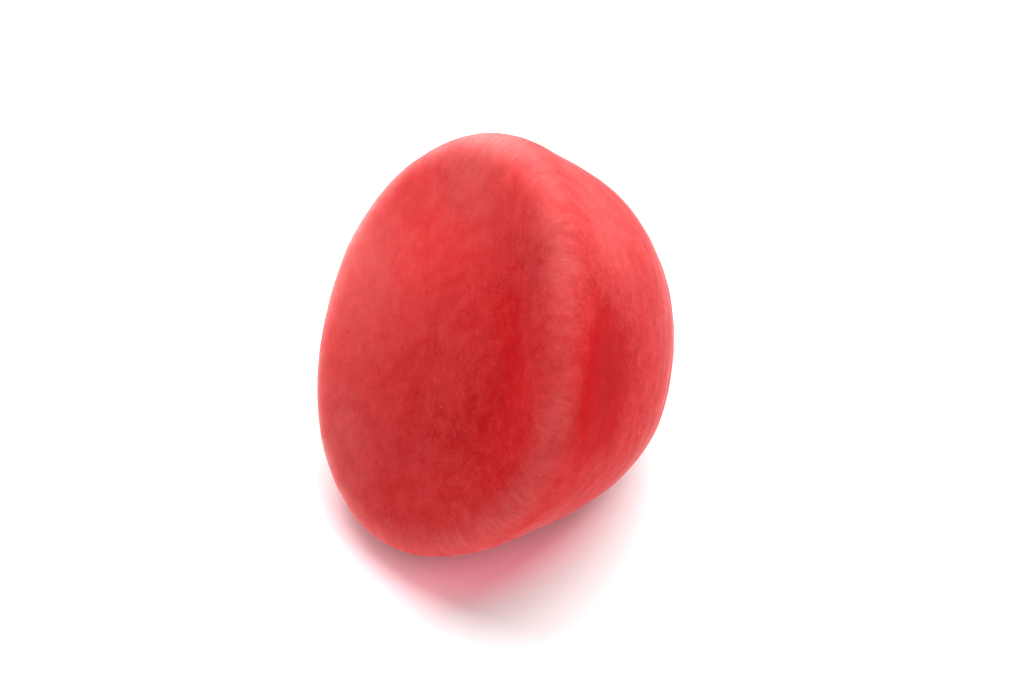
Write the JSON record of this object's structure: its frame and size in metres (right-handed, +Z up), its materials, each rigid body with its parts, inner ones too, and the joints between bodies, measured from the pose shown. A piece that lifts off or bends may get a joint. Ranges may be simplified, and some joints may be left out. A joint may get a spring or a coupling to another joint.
{
  "type": "gummy vitamin",
  "caption": "Chewy red gumdrop-shaped gummy vitamin with a round, softly bulging base, a groove inside its rim and a blunt oblong crown, lying on its side.",
  "frame": {"origin": "centre of the small flat that the gummy lies on, on the surface under it", "axes": "+Z up, +X the level direction from the base towards the crown, which points down at the surface by 34 degrees, +Y along the base face"},
  "size_m": [0.0181, 0.0202, 0.0181],
  "materials": {
    "gummy": "frosted translucent red, matte"
  },
  "bodies": {
    "root": {"gummy_body": "gummy"}
  },
  "joints": []
}
